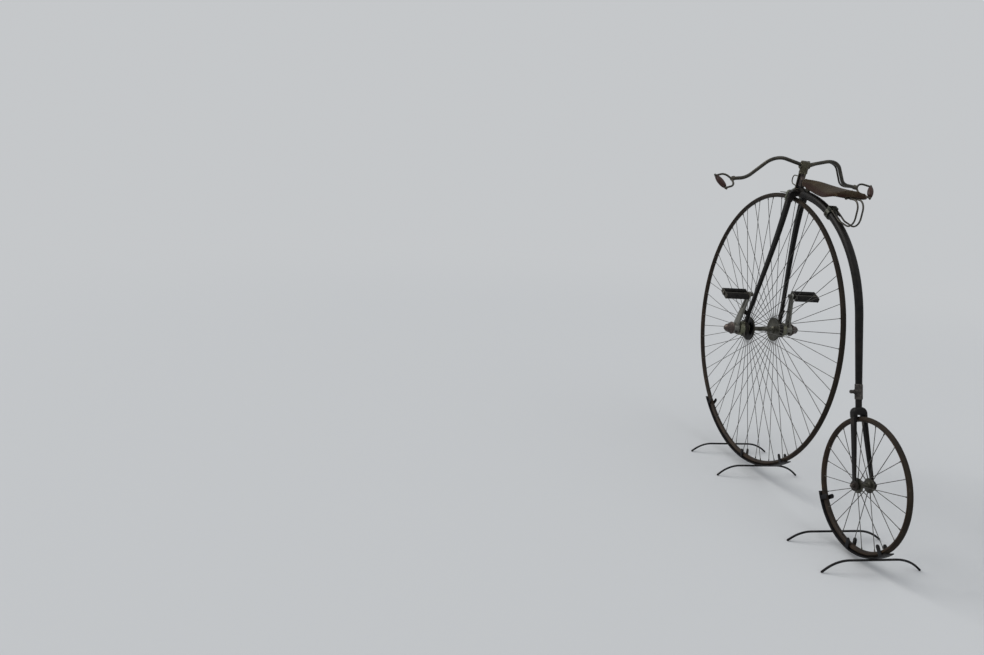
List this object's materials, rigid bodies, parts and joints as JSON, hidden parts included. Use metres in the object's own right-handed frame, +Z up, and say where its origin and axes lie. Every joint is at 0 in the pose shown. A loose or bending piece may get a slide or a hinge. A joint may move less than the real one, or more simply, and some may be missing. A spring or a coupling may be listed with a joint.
{
  "type": "penny farthing bicycle on display stands",
  "caption": "High-wheel bicycle with a steered, crank-driven big wheel, small trailing wheel, curved backbone, leather saddle and a display stand under each wheel.",
  "frame": {"origin": "on the floor, midway between the front of the big tyre and the back of the small one, in the wheels' plane", "axes": "+X forward, +Y to the rider's left, +Z up"},
  "size_m": [1.8479, 0.7924, 1.5289],
  "materials": {
    "tyre": "old brown-black solid rubber, worn",
    "rim_enamel": "worn dark enamel",
    "black_enamel": "semi-gloss stove enamel, lightly worn",
    "worn_nickel": "worn nickel plate",
    "dark_bar": "dull worn plate over steel",
    "grip_wood": "reddish varnished hardwood",
    "saddle_leather": "old brown saddle leather",
    "pedal_rubber": "black grooved rubber",
    "stand_enamel": "black satin paint",
    "hub_steel": "dull oiled steel",
    "plain_steel": "dull steel"
  },
  "bodies": {
    "frame": {"backbone": "black_enamel", "neck": "black_enamel", "rear_crown": "black_enamel", "rear_leg_left": "black_enamel", "rear_leg_right": "black_enamel", "rear_axle": "plain_steel", "step": "plain_steel", "saddle": "saddle_leather", "saddle_frame": "plain_steel", "saddle_springs": "plain_steel", "spring_clamp": "plain_steel", "rear_cradle": "stand_enamel", "rear_feet": "stand_enamel"},
    "fork": {"fork_leg_left": "black_enamel", "fork_leg_right": "black_enamel", "fork_crown": "black_enamel", "steering_head": "worn_nickel", "handlebar": "dark_bar", "grip_loop_left": "dark_bar", "grip_loop_right": "dark_bar", "wood_grip_left": "grip_wood", "wood_grip_right": "grip_wood", "brake_lever": "dark_bar", "brake_spoon": "worn_nickel", "brake_link": "worn_nickel", "bearing_left": "worn_nickel", "bearing_right": "worn_nickel", "front_cradle": "stand_enamel", "front_feet": "stand_enamel"},
    "front_wheel": {"front_tyre": "tyre", "front_rim": "rim_enamel", "front_hub": "hub_steel", "front_spokes": "plain_steel", "crank_left": "worn_nickel", "crank_right": "worn_nickel", "crank_nut_left": "worn_nickel", "crank_nut_right": "worn_nickel", "pedal_spindle_left": "plain_steel", "pedal_spindle_right": "plain_steel"},
    "pedal_left": {"pedal_frame_left": "plain_steel", "pedal_rubbers_left": "pedal_rubber"},
    "pedal_right": {"pedal_frame_right": "plain_steel", "pedal_rubbers_right": "pedal_rubber"},
    "rear_wheel": {"rear_tyre": "tyre", "rear_rim": "rim_enamel", "rear_hub": "hub_steel", "rear_spokes": "plain_steel"}
  },
  "joints": [
    {"name": "steering", "type": "hinge", "parent": "frame", "child": "fork", "pos_m": [0.11846, 0, 1.41535], "axis": [-0.1994, 0, 0.9799], "range_deg": [-40, 40]},
    {"name": "front_wheel_spin", "type": "hinge", "parent": "fork", "child": "front_wheel", "pos_m": [0.264, 0, 0.7], "axis": [0, 1, 0], "continuous": true},
    {"name": "rear_wheel_spin", "type": "hinge", "parent": "frame", "child": "rear_wheel", "pos_m": [-0.658, 0, 0.292], "axis": [0, 1, 0], "continuous": true},
    {"name": "pedal_left_spin", "type": "hinge", "parent": "front_wheel", "child": "pedal_left", "pos_m": [0.22355, 0.18, 0.87522], "axis": [0, 1, 0], "continuous": true},
    {"name": "pedal_right_spin", "type": "hinge", "parent": "front_wheel", "child": "pedal_right", "pos_m": [0.22355, -0.18, 0.87522], "axis": [0, 1, 0], "continuous": true}
  ]
}
